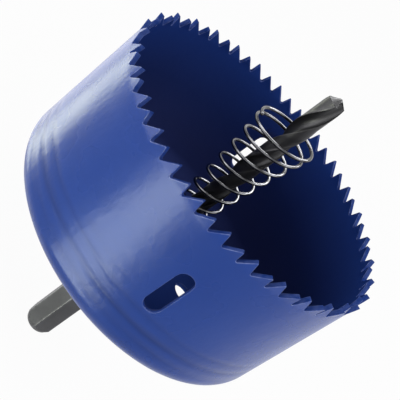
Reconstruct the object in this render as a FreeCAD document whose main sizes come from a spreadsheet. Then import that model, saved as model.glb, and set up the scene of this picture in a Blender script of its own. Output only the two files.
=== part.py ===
import FreeCAD, Part
import math
import os

import Sketcher

# A hole saw: a toothed steel band welded to a drawn cap, carried on a hex shanked arbor that also
# holds the pilot drill, with a conical spring round the drill that pushes the cut disc out.
# Lengths are in millimetres and angles in degrees. The origin is the middle of the shank's end
# face, and Z runs up the tool's axis towards the point of the drill.

Vector = FreeCAD.Vector
doc = FreeCAD.newDocument("hole_saw")

# Driving sizes

SIZES = [
    ("cup_diameter", 98.0, "outside of the band and the cap"),
    ("sheet_thickness", 1.5, "steel sheet of the band and the cap"),
    ("cup_depth", 46.0, "outer face of the cap to the gullets"),
    ("tooth_count", 60, "teeth round the rim, an even number"),
    ("tooth_height", 3.4, "gullet to tip"),
    ("tooth_rake_run", 0.6, "how far the cutting face leans back between tip and root"),
    ("tooth_tip_land", 0.35, "flat left on each tip"),
    ("gullet_floor", 0.5, "flat in the bottom of each gullet"),
    ("tooth_set", 0.65, "how far a tip is bent out or in"),
    ("cap_height", 12.5, "outer face of the cap to the weld"),
    ("cap_corner_radius", 6.4, "outer corner of the cap"),
    ("weld_groove", 0.3, "chamfer on the cap's rim, at the weld"),
    ("slot_length", 16.2, "slot in the wall, end to end"),
    ("slot_width", 5.4, "slot in the wall, side to side"),
    ("slot_below_gullets", 11.7, "gullets to the near end of the slot"),
    ("slot_a_angle", 285.8, "where the first slot stands round the band"),
    ("slot_b_angle", 93.9, "where the second slot stands round the band"),
    ("cap_hole_diameter", 6.4, "open drive holes in the cap"),
    ("cap_hole_circle", 37.8, "diameter of the circle the drive holes stand on"),
    ("cap_hole_angle", -2.0, "where the first drive hole stands"),
    ("shank_across_flats", 9.5, "hex shank"),
    ("shank_turn", 7.2, "turn of the hexagon about the axis"),
    ("shank_length", 31.0, "end of the shank to the collar"),
    ("shank_end_diameter", 8.4, "end face of the shank, inside its lead in"),
    ("shank_lead_in", 3.0, "length of the cone turned on the shank's end"),
    ("collar_diameter", 22.0, "round body of the arbor"),
    ("collar_length", 20.0, "round body of the arbor"),
    ("collar_chamfer", 1.0, "both rims of the round body"),
    ("spigot_diameter", 12.7, "threaded nose of the arbor"),
    ("spigot_proud", 0.8, "nose beyond the nut"),
    ("spigot_clearance", 0.1, "radial gap between the nose and what slides over it"),
    ("thread_clearance", 0.05, "radial gap between a thread and its nut or hole"),
    ("washer_diameter", 21.0, "spring washer under the nut"),
    ("washer_thickness", 1.2, "spring washer under the nut"),
    ("washer_gap", 1.6, "cut through the spring washer"),
    ("nut_across_flats", 19.0, "thin nut on the nose"),
    ("nut_height", 5.0, "thin nut on the nose"),
    ("nut_chamfer_height", 0.9, "rounded corners of the nut"),
    ("drill_diameter", 6.35, "pilot drill"),
    ("drill_length", 94.0, "pilot drill, butt to point"),
    ("drill_point_angle", 118.0, "whole angle of the point"),
    ("drill_butt_chamfer", 0.6, "chamfer on the butt end"),
    ("drill_bore_clearance", 0.05, "radial gap between the drill and its bore"),
    ("drill_bore_depth", 26.0, "bore in the arbor, from the front of the nose"),
    ("drill_bore_bottom_gap", 0.1, "drill's butt to the bottom of the bore"),
    ("drill_flat_depth", 0.6, "flat for the set screw"),
    ("drill_flat_length", 10.0, "flat for the set screw"),
    ("flute_lead", 40.6, "length in which a flute turns once"),
    ("flute_run", 55.0, "point to the start of the flutes"),
    ("flute_run_out", 9.0, "length in which the flutes come to their full depth"),
    ("flute_web", 1.1, "steel left between the flutes"),
    ("flute_radius", 2.35, "round bottom of a flute"),
    ("flute_turn", 0.0, "angle at which a flute starts"),
    ("flute_step", 15.0, "turn between two sections of the fluted length"),
    ("screw_diameter", 6.0, "set screw"),
    ("screw_length", 7.0, "set screw"),
    ("screw_gap", 0.02, "set screw's tip to the flat"),
    ("screw_socket", 3.0, "hex socket across flats"),
    ("screw_socket_depth", 3.0, "hex socket"),
    ("spring_wire", 0.95, "ejector spring's wire"),
    ("spring_end_angle", 210.0, "where the wire ends at the wide end"),
    ("spring_seat_turns", 1.0, "closed turns on the nose"),
    ("spring_open_turns", 8.24, "open turns"),
    ("spring_front_turns", 1.08, "closed turns at the wide end"),
    ("spring_seat_pitch", 1.0, "pitch of the closed turns on the nose"),
    ("spring_low_pitch", 6.0, "pitch of the first open turn"),
    ("spring_high_pitch", 5.36, "pitch of the last open turn"),
    ("spring_front_pitch", 1.9, "pitch of the closed turns at the wide end"),
    ("spring_pitch_ramp", 0.25, "turns over which the pitch changes, each way"),
    ("spring_seat_radius", 3.98, "middle of the wire at the narrow end"),
    ("spring_waist_height", 36.0, "narrow end to where the cone widens"),
    ("spring_waist_radius", 7.65, "middle of the wire there"),
    ("spring_front_radius", 9.47, "middle of the wire at the wide end"),
    ("spring_coil_tilt", 1.5, "how far the open coils stand up on one side"),
    ("spring_tilt_turns", 4.0, "turns over which that tilt grows"),
    ("spring_lean", 1.4, "how far the wide end leans off the axis"),
    ("spring_runs", 16, "straight runs in a turn of the wire"),
]

sheet = doc.addObject("Spreadsheet::Sheet", "sizes")
sheet.set("A1", "size")
sheet.set("B1", "value")
sheet.set("C1", "what it is")
for row, (alias, value, words) in enumerate(SIZES, start=2):
    sheet.set("A%d" % row, alias)
    sheet.set("B%d" % row, str(value))
    sheet.setAlias("B%d" % row, alias)
    sheet.set("C%d" % row, words)
doc.recompute()


def size(alias):
    """The number that the sheet holds under this alias."""
    return float(sheet.get(alias))


# Heights up the axis, as expressions of the sheet's cells

CAP_FACE = "(sizes.shank_length + sizes.collar_length)"
SEAM = "(%s + sizes.cap_height)" % CAP_FACE
GULLETS = "(%s + sizes.cup_depth)" % CAP_FACE
WASHER_BASE = "(%s + sizes.sheet_thickness)" % CAP_FACE
NUT_BASE = "(%s + sizes.washer_thickness)" % WASHER_BASE
NOSE = "(%s + sizes.nut_height + sizes.spigot_proud)" % NUT_BASE
DRILL_BUTT = "(%s - sizes.drill_bore_depth + sizes.drill_bore_bottom_gap)" % NOSE
DRILL_POINT = "(%s + sizes.drill_length)" % DRILL_BUTT
SCREW_HEIGHT = "(sizes.shank_length + sizes.collar_length / 2)"
TIPS = "(%s + sizes.tooth_height)" % GULLETS
CUP_RADIUS = "(sizes.cup_diameter / 2)"
INNER_RADIUS = "(%s - sizes.sheet_thickness)" % CUP_RADIUS
TOOTH_PITCH = "(pi * sizes.cup_diameter / sizes.tooth_count)"
TOOTH_ROOT = "(sizes.tooth_tip_land / 2 + sizes.tooth_rake_run)"
NEXT_ROOT = "(%s + sizes.gullet_floor)" % TOOTH_ROOT
HEX_CORNER = "(sizes.shank_across_flats / 2 / cos(30))"
NUT_CORNER = "(sizes.nut_across_flats / 2 / cos(30))"

# How far a cutting solid runs past the face that it cuts through
OVERRUN = 1.0


def expression(text):
    """The number that an expression of the sheet's cells gives."""
    value = sheet.evalExpression(text.replace("sizes.", ""))
    return float(getattr(value, "Value", value))


def new_body(label):
    """An empty body that may hold separate solids."""
    body = doc.addObject("PartDesign::Body", label)
    body.Label = label
    body.AllowCompound = True
    return body


def origin_plane(body, role):
    """The body's own origin plane with this role."""
    return [feature for feature in body.Origin.OriginFeatures if feature.Role == role][0]


def sketch_on(body, name, role, offset=None):
    """An empty sketch on an origin plane, moved along its normal by an expression."""
    sketch = body.newObject("Sketcher::SketchObject", name)
    sketch.AttachmentSupport = [(origin_plane(body, role), "")]
    sketch.MapMode = "FlatFace"
    if offset:
        sketch.setExpression("AttachmentOffset.Base.z", offset)
    return sketch


def pin_point(sketch, geometry, position, x, y):
    """Holds a point of the sketch at two expressions from the sketch's origin."""
    for kind, text in (("DistanceX", x), ("DistanceY", y)):
        index = sketch.addConstraint(Sketcher.Constraint(kind, -1, 1, geometry, position, expression(text)))
        sketch.setExpression("Constraints[%d]" % index, text)


def draw_outline(sketch, corners):
    """A closed outline of straight lines through corners given as pairs of expressions."""
    points = [Vector(expression(x), expression(y), 0) for x, y in corners]
    first = sketch.GeometryCount
    count = len(corners)
    for index in range(count):
        sketch.addGeometry(Part.LineSegment(points[index], points[(index + 1) % count]))
    for index in range(count):
        following = first + (index + 1) % count
        sketch.addConstraint(Sketcher.Constraint("Coincident", first + index, 2, following, 1))
    for index, (x, y) in enumerate(corners):
        pin_point(sketch, first + index, 1, x, y)


def draw_circle(sketch, diameter, x="0", y="0"):
    """A circle whose diameter and middle are expressions."""
    middle = Vector(expression(x), expression(y), 0)
    index = sketch.addGeometry(Part.Circle(middle, Vector(0, 0, 1), expression(diameter) / 2))
    pin_point(sketch, index, 3, x, y)
    constraint = sketch.addConstraint(Sketcher.Constraint("Diameter", index, expression(diameter)))
    sketch.setExpression("Constraints[%d]" % constraint, diameter)


def draw_hexagon(sketch, corner_radius, turn):
    """A regular hexagon with one corner at the angle turn."""
    angles = ["(%s + %d)" % (turn, 60 * step) for step in range(6)]
    draw_outline(sketch, [("%s * cos(%s)" % (corner_radius, angle), "%s * sin(%s)" % (corner_radius, angle))
                          for angle in angles])


def pad(body, sketch, length):
    """The sketch raised by an expression along its normal."""
    feature = body.newObject("PartDesign::Pad", sketch.Name + "_pad")
    feature.Profile = sketch
    feature.setExpression("Length", length)
    doc.recompute()
    return feature


def pocket(body, sketch, length, reverse=False):
    """The sketch cut away against its normal, or along it when reversed."""
    feature = body.newObject("PartDesign::Pocket", sketch.Name + "_pocket")
    feature.Profile = sketch
    feature.setExpression("Length", length)
    feature.Reversed = reverse
    doc.recompute()
    return feature


def turned(body, sketch, kind="Revolution"):
    """The sketch turned about the tool's axis, to add (Revolution) or to cut (Groove)."""
    feature = body.newObject("PartDesign::" + kind, sketch.Name + "_turned")
    feature.Profile = sketch
    feature.ReferenceAxis = (sketch, ["V_Axis"])
    feature.Angle = 360
    doc.recompute()
    return feature


def pattern_round(body, axis, feature, count, mode="Features"):
    """Copies of a feature, evenly spaced all the way round the tool's axis."""
    copies = body.newObject("PartDesign::PolarPattern", feature.Name + "_copies")
    copies.TransformMode = mode
    if mode == "Features":
        copies.Originals = [feature]
    copies.Axis = axis
    copies.Angle = 360
    copies.setExpression("Occurrences", count)
    body.Tip = copies
    doc.recompute()
    return copies


def edges_at(shape, height, radius):
    """Names of the round edges about the axis at this height and radius."""
    names = []
    for index, edge in enumerate(shape.Edges, start=1):
        curve = edge.Curve
        if isinstance(curve, Part.Circle) and abs(curve.Radius - radius) < 1e-4:
            centre = curve.Center
            if abs(centre.z - height) < 1e-4 and math.hypot(centre.x, centre.y) < 1e-4:
                names.append("Edge%d" % index)
    return names


def dress(body, kind, base, names, name, amount_property, amount):
    """A fillet or a chamfer on named edges of a feature."""
    feature = body.newObject("PartDesign::" + kind, name)
    feature.Base = (base, names)
    feature.setExpression(amount_property, amount)
    doc.recompute()
    return feature


def combined(kind, label, base, tool):
    """One solid cut from another, or what the two share."""
    result = doc.addObject("Part::" + kind, label)
    result.Label = label
    result.Base = base
    result.Tool = tool
    return result


def joined(label, pieces):
    """Several solids made one."""
    result = doc.addObject("Part::MultiFuse", label)
    result.Label = label
    result.Shapes = pieces
    result.Refine = True
    return result


# Toothed band: a rolled strip whose teeth are cut, then bent out and in by turns

def ring(label, corners):
    """A ring turned from an outline of radius and height pairs."""
    body = new_body(label)
    sketch = sketch_on(body, label + "_outline", "XZ_Plane")
    draw_outline(sketch, corners)
    turned(body, sketch)
    return body


def crown(label, bend):
    """The ring that the teeth are cut from, flared by bend at the tips."""
    return ring(label, [
        (INNER_RADIUS, GULLETS),
        (CUP_RADIUS, GULLETS),
        ("%s + %s" % (CUP_RADIUS, bend), TIPS),
        ("%s + %s" % (INNER_RADIUS, bend), TIPS),
    ])


def every_other_tooth():
    """Wedges that hold every other tooth, from gullet to gullet."""
    body = new_body("tooth_wedges")
    low = "(%s - %d)" % (GULLETS, OVERRUN)
    sketch = sketch_on(body, "wedge", "XY_Plane", low)
    inner = "(%s - sizes.tooth_set - %d)" % (INNER_RADIUS, OVERRUN)
    outer = "(%s + sizes.tooth_set + %d)" % (CUP_RADIUS, OVERRUN)
    leading = "((%s + sizes.gullet_floor / 2) / %s * 180 / pi)" % (TOOTH_ROOT, CUP_RADIUS)
    trailing = "(%s - 360 / sizes.tooth_count)" % leading
    draw_outline(sketch, [
        ("%s * cos(%s)" % (inner, trailing), "%s * sin(%s)" % (inner, trailing)),
        ("%s * cos(%s)" % (outer, trailing), "%s * sin(%s)" % (outer, trailing)),
        ("%s * cos(%s)" % (outer, leading), "%s * sin(%s)" % (outer, leading)),
        ("%s * cos(%s)" % (inner, leading), "%s * sin(%s)" % (inner, leading)),
    ])
    wedge = pad(body, sketch, "%s - %s + %d" % (TIPS, low, OVERRUN))
    pattern_round(body, (sketch, ["N_Axis"]), wedge, "sizes.tooth_count / 2")
    return body


def gullets():
    """One gullet after each tooth: steep behind the cutting edge, then a long slope to the next tip."""
    body = new_body("gullets")
    start = "(%s - sizes.tooth_set - %d)" % (INNER_RADIUS, OVERRUN)
    sketch = sketch_on(body, "gullet", "XZ_Plane", start)
    near = "(sizes.tooth_tip_land / 2)"
    far = "(%s - sizes.tooth_tip_land / 2)" % TOOTH_PITCH
    top = "(%s + %d)" % (TIPS, OVERRUN)
    low = "(%s - %d)" % (GULLETS, OVERRUN)
    draw_outline(sketch, [
        (near, top),
        (near, TIPS),
        (TOOTH_ROOT, GULLETS),
        (TOOTH_ROOT, low),
        (NEXT_ROOT, low),
        (NEXT_ROOT, GULLETS),
        (far, TIPS),
        (far, top),
    ])
    notch = pad(body, sketch, "sizes.sheet_thickness + 2 * sizes.tooth_set + 2 * %d" % OVERRUN)
    pattern_round(body, (origin_plane(body, "Z_Axis"), [""]), notch, "sizes.tooth_count", "Whole shape")
    return body


def wall_slot(label, angle):
    """A slot with round ends, through the wall at an angle round the band."""
    width = "sizes.slot_width"
    depth = "%s + 2 * %d" % ("sizes.sheet_thickness", OVERRUN)
    start = "(-%s - %d)" % (CUP_RADIUS, OVERRUN)
    top = "(%s - sizes.slot_below_gullets - sizes.slot_width / 2)" % GULLETS
    low = "(%s - sizes.slot_length + sizes.slot_width)" % top
    middle = doc.addObject("Part::Box", label + "_middle")
    middle.setExpression("Length", width)
    middle.setExpression("Width", depth)
    middle.setExpression("Height", "sizes.slot_length - sizes.slot_width")
    middle.setExpression("Placement.Base.x", "-sizes.slot_width / 2")
    middle.setExpression("Placement.Base.y", start)
    middle.setExpression("Placement.Base.z", low)
    ends = []
    for name, height in (("top", top), ("low", low)):
        end = doc.addObject("Part::Cylinder", "%s_%s" % (label, name))
        end.setExpression("Radius", "sizes.slot_width / 2")
        end.setExpression("Height", depth)
        end.Placement = FreeCAD.Placement(Vector(0, 0, 0), FreeCAD.Rotation(Vector(1, 0, 0), -90))
        end.setExpression("Placement.Base.y", start)
        end.setExpression("Placement.Base.z", height)
        ends.append(end)
    slot = joined(label, [middle] + ends)
    slot.Placement = FreeCAD.Placement(Vector(0, 0, 0), FreeCAD.Rotation(Vector(0, 0, 1), 1))
    slot.setExpression("Placement.Rotation.Angle", "%s - 270" % angle)
    return slot


def toothed_band():
    """The strip with its two slots, and the bent teeth on its rim."""
    strip = ring("strip", [
        (INNER_RADIUS, SEAM),
        (CUP_RADIUS, SEAM),
        (CUP_RADIUS, GULLETS),
        (INNER_RADIUS, GULLETS),
    ])
    first = wall_slot("slot_a", "sizes.slot_a_angle")
    slots = joined("slots", [first, wall_slot("slot_b", "sizes.slot_b_angle")])
    wall = combined("Cut", "slotted_strip", strip, slots)
    wedges = every_other_tooth()
    bent_out = combined("Common", "crown_bent_out", crown("crown_out", "sizes.tooth_set"), wedges)
    bent_in = combined("Cut", "crown_bent_in", crown("crown_in", "-sizes.tooth_set"), wedges)
    crowns = joined("crowns", [bent_out, bent_in])
    teeth = combined("Cut", "teeth", crowns, gullets())
    return joined("toothed_band", [wall, teeth])


# End cap: a drawn dish, with the arbor's hole and two open drive holes

CORNER_CHORDS = 3


def rounded_corner(radius):
    """Points round the cap's corner at this radius, from its face to its wall."""
    middle = "(%s - sizes.cap_corner_radius)" % CUP_RADIUS
    height = "(%s + sizes.cap_corner_radius)" % CAP_FACE
    angles = [90.0 * step / CORNER_CHORDS for step in range(CORNER_CHORDS + 1)]
    return [("%s + %s * sin(%s)" % (middle, radius, angle), "%s - %s * cos(%s)" % (height, radius, angle))
            for angle in angles]


def end_cap():
    """The dish turned in one piece, its corner in chords, then its holes."""
    body = new_body("end_cap")
    outline = sketch_on(body, "cap_outline", "XZ_Plane")
    outer = rounded_corner("sizes.cap_corner_radius")
    inner = rounded_corner("(sizes.cap_corner_radius - sizes.sheet_thickness)")
    nose = "(sizes.spigot_diameter / 2 + sizes.spigot_clearance)"
    rim = [
        (CUP_RADIUS, "%s - sizes.weld_groove" % SEAM),
        ("%s - sizes.weld_groove" % CUP_RADIUS, SEAM),
        (INNER_RADIUS, SEAM),
    ]
    draw_outline(outline, [(nose, CAP_FACE)] + outer + rim + inner[::-1] + [(nose, WASHER_BASE)])
    turned(body, outline)
    drive_hole = sketch_on(body, "cap_drive_hole", "XY_Plane", WASHER_BASE)
    draw_circle(drive_hole, "sizes.cap_hole_diameter",
                "sizes.cap_hole_circle / 2 * cos(sizes.cap_hole_angle)",
                "sizes.cap_hole_circle / 2 * sin(sizes.cap_hole_angle)")
    hole = pocket(body, drive_hole, "sizes.sheet_thickness")
    pattern_round(body, (drive_hole, ["N_Axis"]), hole, "2")
    return body


# Arbor: hex shank, round body and threaded nose in one turned piece, bored for the drill

def arbor():
    """The hexagon, the collar and the nose, then the cone, the bore and the set screw's hole."""
    body = new_body("arbor")
    hexagon = sketch_on(body, "shank_hexagon", "XY_Plane")
    draw_hexagon(hexagon, HEX_CORNER, "(sizes.shank_turn - 90)")
    pad(body, hexagon, "sizes.shank_length")
    lead_in = sketch_on(body, "shank_lead_in", "XZ_Plane")
    outside = "(%s + %d)" % (HEX_CORNER, OVERRUN)
    draw_outline(lead_in, [
        ("sizes.shank_end_diameter / 2", "0"),
        (HEX_CORNER, "sizes.shank_lead_in"),
        (outside, "sizes.shank_lead_in"),
        (outside, "-%d" % OVERRUN),
        ("sizes.shank_end_diameter / 2", "-%d" % OVERRUN),
    ])
    turned(body, lead_in, "Groove")
    collar = sketch_on(body, "collar", "XY_Plane", "sizes.shank_length")
    draw_circle(collar, "sizes.collar_diameter")
    collar_pad = pad(body, collar, "sizes.collar_length")
    radius = size("collar_diameter") / 2
    rims = (edges_at(collar_pad.Shape, size("shank_length"), radius)
            + edges_at(collar_pad.Shape, expression(CAP_FACE), radius))
    dress(body, "Chamfer", collar_pad, rims, "collar_rims", "Size", "sizes.collar_chamfer")
    nose = sketch_on(body, "nose", "XY_Plane", CAP_FACE)
    draw_circle(nose, "sizes.spigot_diameter")
    pad(body, nose, "%s - %s" % (NOSE, CAP_FACE))
    bore = sketch_on(body, "drill_bore", "XY_Plane", NOSE)
    draw_circle(bore, "sizes.drill_diameter + 2 * sizes.drill_bore_clearance")
    pocket(body, bore, "sizes.drill_bore_depth")
    screw_hole = sketch_on(body, "screw_hole", "YZ_Plane")
    draw_circle(screw_hole, "sizes.screw_diameter + 2 * sizes.thread_clearance", "0", SCREW_HEIGHT)
    pocket(body, screw_hole, "sizes.collar_diameter", True)
    return body


# Fasteners: the set screw that grips the drill, and the washer and nut that clamp the cap

def set_screw():
    """A plain threaded pin with a hex socket, lying along X against the drill's flat."""
    tip = "(sizes.drill_diameter / 2 - sizes.drill_flat_depth + sizes.screw_gap)"
    lying = FreeCAD.Rotation(Vector(0, 1, 0), 90)
    stem = doc.addObject("Part::Cylinder", "screw_stem")
    stem.Placement = FreeCAD.Placement(Vector(0, 0, 0), lying)
    stem.setExpression("Radius", "sizes.screw_diameter / 2")
    stem.setExpression("Height", "sizes.screw_length")
    stem.setExpression("Placement.Base.x", tip)
    stem.setExpression("Placement.Base.z", SCREW_HEIGHT)
    socket = doc.addObject("Part::Prism", "screw_socket")
    socket.Polygon = 6
    socket.Placement = FreeCAD.Placement(Vector(0, 0, 0), lying)
    socket.setExpression("Circumradius", "sizes.screw_socket / 2 / cos(30)")
    socket.setExpression("Height", "sizes.screw_socket_depth + %d" % OVERRUN)
    socket.setExpression("Placement.Base.x", "%s + sizes.screw_length - sizes.screw_socket_depth" % tip)
    socket.setExpression("Placement.Base.z", SCREW_HEIGHT)
    return combined("Cut", "set_screw", stem, socket)


def spring_washer():
    """A flat ring with a cut through one side."""
    body = new_body("spring_washer")
    face = sketch_on(body, "washer_face", "XY_Plane", WASHER_BASE)
    draw_circle(face, "sizes.washer_diameter")
    draw_circle(face, "sizes.spigot_diameter + 2 * sizes.spigot_clearance")
    pad(body, face, "sizes.washer_thickness")
    gap = sketch_on(body, "washer_cut", "XY_Plane", NUT_BASE)
    half = "sizes.washer_gap / 2"
    draw_outline(gap, [
        ("0", "-" + half),
        ("sizes.washer_diameter", "-" + half),
        ("sizes.washer_diameter", half),
        ("0", half),
    ])
    pocket(body, gap, "sizes.washer_thickness")
    return body


def arbor_nut():
    """A thin hexagon nut with its upper corners turned off."""
    body = new_body("arbor_nut")
    face = sketch_on(body, "nut_face", "XY_Plane", NUT_BASE)
    draw_hexagon(face, NUT_CORNER, "0")
    pad(body, face, "sizes.nut_height")
    corners = sketch_on(body, "nut_corners", "XZ_Plane")
    top = "(%s + sizes.nut_height)" % NUT_BASE
    outside = "(%s + %d)" % (NUT_CORNER, OVERRUN)
    draw_outline(corners, [
        ("sizes.nut_across_flats / 2", top),
        (NUT_CORNER, "%s - sizes.nut_chamfer_height" % top),
        (outside, "%s - sizes.nut_chamfer_height" % top),
        (outside, "%s + %d" % (top, OVERRUN)),
        ("sizes.nut_across_flats / 2", "%s + %d" % (top, OVERRUN)),
    ])
    turned(body, corners, "Groove")
    thread = sketch_on(body, "nut_thread", "XY_Plane", top)
    draw_circle(thread, "sizes.spigot_diameter + 2 * sizes.thread_clearance")
    pocket(body, thread, "sizes.nut_height")
    return body


# Pilot drill: the flutes are one section of two lands and two flutes, twisted up the axis

LAND_POINTS = 4
FLUTE_POINTS = 4


def flute_section():
    """Corners of the section, from arcs of the drill's circle and of the two flute circles."""
    drill = size("drill_diameter") / 2
    flute = size("flute_radius")
    offset = size("flute_web") / 2 + flute
    # Where the flute's circle meets the drill's circle
    x = (drill ** 2 - flute ** 2 + offset ** 2) / (2 * offset)
    y = math.sqrt(drill ** 2 - x ** 2)
    land_start = math.atan2(y, x)
    flute_end = math.atan2(y, x - offset)
    corners = []
    for side in (0.0, math.pi):
        for index in range(FLUTE_POINTS):
            angle = 2 * math.pi - flute_end - (2 * math.pi - 2 * flute_end) * index / FLUTE_POINTS
            corners.append(Vector(offset + flute * math.cos(angle), flute * math.sin(angle), 0))
            corners[-1] = FreeCAD.Rotation(Vector(0, 0, 1), math.degrees(side)).multVec(corners[-1])
        for index in range(LAND_POINTS):
            angle = side + land_start + (math.pi - 2 * land_start) * index / LAND_POINTS
            corners.append(Vector(drill * math.cos(angle), drill * math.sin(angle), 0))
    return corners


def triangle(first, second, third):
    """A flat face on three points."""
    return Part.Face(Part.makePolygon([first, second, third, first]))


def twisted_length():
    """The section stacked in even turns, from the start of the flutes to past the point."""
    corners = flute_section()
    step = size("flute_step")
    rise = size("flute_lead") * step / 360
    low = expression("%s - sizes.flute_run" % DRILL_POINT)
    count = int(math.ceil(size("flute_run") / rise)) + 1
    rings = []
    for level in range(count + 1):
        turn = FreeCAD.Rotation(Vector(0, 0, 1), size("flute_turn") + step * level)
        rings.append([turn.multVec(corner) + Vector(0, 0, low + rise * level) for corner in corners])
    faces = [Part.Face(Part.makePolygon(ring + [ring[0]])) for ring in (rings[0], rings[-1])]
    for lower, upper in zip(rings, rings[1:]):
        for index in range(len(corners)):
            following = (index + 1) % len(corners)
            faces.append(triangle(lower[index], lower[following], upper[following]))
            faces.append(triangle(lower[index], upper[following], upper[index]))
    return Part.makeSolid(Part.makeShell(faces))


def pilot_drill():
    """Plain shank with a flat for the screw, fluted length and conical point."""
    radius = size("drill_diameter") / 2
    butt = expression(DRILL_BUTT)
    point = expression(DRILL_POINT)
    flutes = point - size("flute_run")
    blank = radius + OVERRUN / 4
    cone = blank / math.tan(math.radians(size("drill_point_angle") / 2))
    stock = Part.makeCylinder(blank, point - cone - flutes, Vector(0, 0, flutes))
    stock = stock.fuse(Part.makeCone(blank, 0, cone, Vector(0, 0, point - cone)))
    shank = Part.makeCylinder(radius, flutes - butt, Vector(0, 0, butt))
    bevel = size("drill_butt_chamfer")
    rim = [edge for edge in shank.Edges if edge.BoundBox.ZMax < butt + 1e-4]
    shank = shank.makeChamfer(bevel, rim)
    run_out = Part.makeCone(radius, size("flute_web") / 2, size("flute_run_out"), Vector(0, 0, flutes))
    flat = Part.makeBox(radius, 2 * radius, size("drill_flat_length"))
    flat.translate(Vector(radius - size("drill_flat_depth"), -radius,
                          expression(SCREW_HEIGHT) - size("drill_flat_length") / 2))
    drill = doc.addObject("Part::Feature", "pilot_drill")
    drill.Label = "pilot_drill"
    drill.Shape = twisted_length().common(stock).fuse([shank, run_out]).cut(flat)
    return drill


# Ejector spring: a conical coil with closed ends, seated on the nose round the drill

WIRE_SIDES = 6


def between(knots, position):
    """The value at a position, in straight runs through knots of position and value."""
    for (low, first), (high, second) in zip(knots, knots[1:]):
        if position <= high:
            return first + (second - first) * (position - low) / (high - low)
    return knots[-1][1]


def spring_line():
    """Points along the middle of the wire, from the nose to the wide end."""
    seat = size("spring_seat_turns")
    last = seat + size("spring_open_turns")
    turns = last + size("spring_front_turns")
    ramp = size("spring_pitch_ramp")
    pitches = [
        (0, size("spring_seat_pitch")),
        (seat - ramp, size("spring_seat_pitch")),
        (seat + ramp, size("spring_low_pitch")),
        (last - ramp, size("spring_high_pitch")),
        (last + ramp, size("spring_front_pitch")),
        (turns, size("spring_front_pitch")),
    ]
    runs = int(round(turns * size("spring_runs")))
    step = turns / runs
    heights = [0.0]
    for index in range(runs):
        heights.append(heights[-1] + step * between(pitches, (index + 0.5) * step))
    top = heights[-1]
    closed = size("spring_front_turns") * size("spring_front_pitch")
    radii = [
        (0, size("spring_seat_radius")),
        (size("spring_waist_height"), size("spring_waist_radius")),
        (top - closed, size("spring_front_radius")),
        (top, size("spring_front_radius")),
    ]
    tilts = [(0, 0.0), (seat, 0.0), (size("spring_tilt_turns"), size("spring_coil_tilt")),
             (turns, size("spring_coil_tilt"))]
    base = expression(NOSE) + size("spring_wire") / 2
    points = []
    for index, height in enumerate(heights):
        turn = index * step
        angle = math.radians(size("spring_end_angle") - 360 * (turns - turn))
        radius = between(radii, height)
        lean = size("spring_lean") * height / top
        points.append(Vector(
            radius * math.cos(angle) - lean,
            radius * math.sin(angle),
            base + height + between(tilts, turn) * math.cos(angle),
        ))
    return points


def ejector_spring():
    """The wire's section carried along straight runs with mitred corners."""
    points = spring_line()
    facing = FreeCAD.Rotation(Vector(0, 0, 1), points[1] - points[0])
    section = []
    for index in range(WIRE_SIDES + 1):
        angle = 2 * math.pi * index / WIRE_SIDES
        corner = Vector(math.cos(angle), math.sin(angle), 0) * (size("spring_wire") / 2)
        section.append(points[0] + facing.multVec(corner))
    sweep = Part.BRepOffsetAPI.MakePipeShell(Part.makePolygon(points))
    sweep.setTransitionMode(1)
    sweep.add(Part.makePolygon(section), False, False)
    sweep.build()
    sweep.makeSolid()
    spring = doc.addObject("Part::Feature", "ejector_spring")
    spring.Label = "ejector_spring"
    spring.Shape = sweep.shape()
    return spring


# Sub-parts, each placed in the tool's frame and written to its own file

nodes = [
    toothed_band(),
    end_cap(),
    arbor(),
    set_screw(),
    spring_washer(),
    arbor_nut(),
    pilot_drill(),
    ejector_spring(),
]
doc.recompute()

for feature in doc.Objects:
    for state in feature.State:
        if state in ("Invalid", "Error"):
            raise RuntimeError("%s is %s" % (feature.Label, state))

os.makedirs("parts", exist_ok=True)
for node in nodes:
    if node.Shape.isNull() or not node.Shape.isValid():
        raise RuntimeError("%s has no valid shape" % node.Label)
    node.Shape.exportStep("parts/%s.step" % node.Label)
    box = node.Shape.BoundBox
    print(node.Label, len(node.Shape.Solids), "solid(s)", round(node.Shape.Volume, 1), "mm3,",
          "z %.2f to %.2f" % (box.ZMin, box.ZMax), "x %.2f to %.2f" % (box.XMin, box.XMax))
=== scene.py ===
# %% [markdown]
# This is a hole saw: a toothed steel cup on an arbor, with a pilot drill down its middle and a
# conical spring that pushes the cut disc out. The solids come from CAD and stay where they are.
# Each one is then dressed with a finer surface, made with numpy from a short formula.

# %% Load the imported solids
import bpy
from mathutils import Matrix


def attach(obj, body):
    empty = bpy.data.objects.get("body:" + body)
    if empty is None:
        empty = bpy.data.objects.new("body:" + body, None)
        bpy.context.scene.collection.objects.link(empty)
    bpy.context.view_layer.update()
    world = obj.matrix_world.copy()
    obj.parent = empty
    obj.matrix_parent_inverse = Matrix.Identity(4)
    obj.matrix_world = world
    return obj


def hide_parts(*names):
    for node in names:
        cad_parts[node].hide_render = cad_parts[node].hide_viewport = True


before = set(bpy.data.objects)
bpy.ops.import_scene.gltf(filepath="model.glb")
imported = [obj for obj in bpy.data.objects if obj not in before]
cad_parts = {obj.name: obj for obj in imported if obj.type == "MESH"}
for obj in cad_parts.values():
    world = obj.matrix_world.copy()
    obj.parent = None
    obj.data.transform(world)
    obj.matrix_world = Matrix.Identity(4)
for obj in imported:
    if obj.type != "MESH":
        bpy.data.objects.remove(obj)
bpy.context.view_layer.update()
print("solids:", sorted(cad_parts))

# %% Tools of the lesson
import math

import bmesh
import bpy
import numpy as np
from mathutils import Matrix

MM = 0.001

# %% [markdown]
# Every surface here is a grid of points, row by row, with a quad between each four neighbours.
# Several grids make one piece: their shared borders are merged, and the faces are turned outwards.
# A piece carries two numbers at each point, for its finish to use: how near it is to an edge, and how
# far inside the cup. The first makes edges paler, partly thin paint on the cup and wear on the steel,
# and partly a painted highlight. The second weighs the painted shade inside the cup.

# %% From grids to a piece
SAME_POINT, NO_LENGTH = 2e-7, 1e-8


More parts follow.
